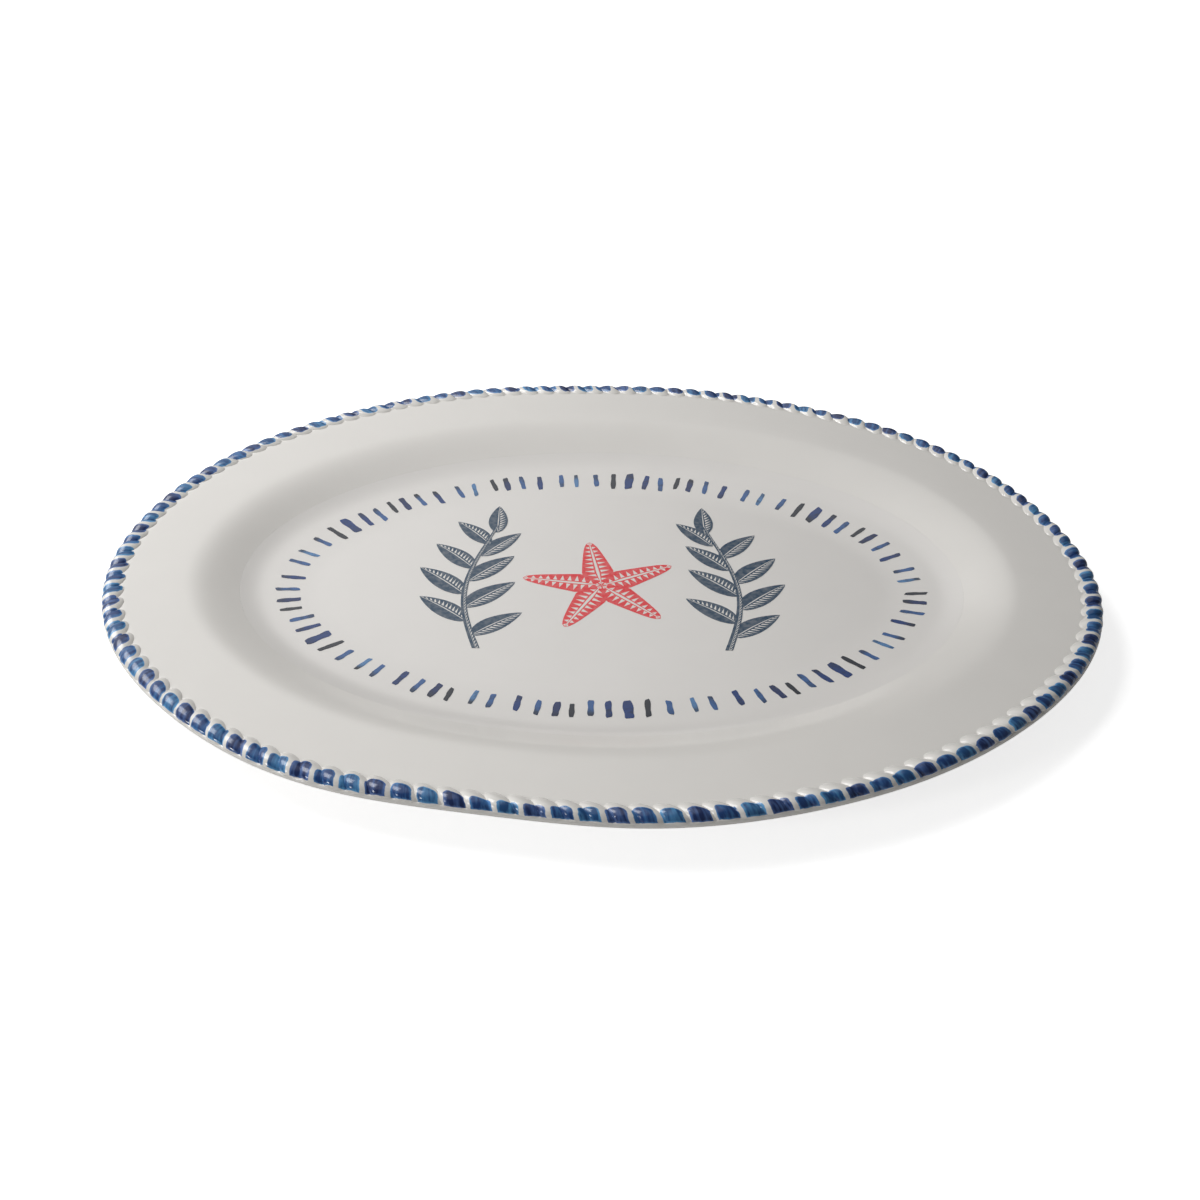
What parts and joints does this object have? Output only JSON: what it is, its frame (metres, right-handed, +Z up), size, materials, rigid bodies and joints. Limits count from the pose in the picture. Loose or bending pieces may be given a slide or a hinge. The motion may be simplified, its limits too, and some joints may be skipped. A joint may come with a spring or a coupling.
{
  "type": "oval serving platter",
  "caption": "Oval serving platter with a wide flat flange, a shallow oval well, a raised rope moulding round the rim and a foot ring, for serving food at table.",
  "frame": {"origin": "middle of the platter's outline, on the surface that the foot ring stands on", "axes": "+X along the length, +Y across the width away from the viewer, +Z up"},
  "size_m": [0.3958, 0.3092, 0.0199],
  "materials": {
    "melamine_white": "glossy white moulded melamine",
    "melamine_rope": "glossy white melamine with printed blue brush strokes",
    "printed_foil": "glossy resin foil with a blue and red print"
  },
  "bodies": {
    "root": {"platter_body": "melamine_white", "rope_edging": "melamine_rope", "foot_ring": "melamine_white", "well_foil": "printed_foil"}
  },
  "joints": []
}
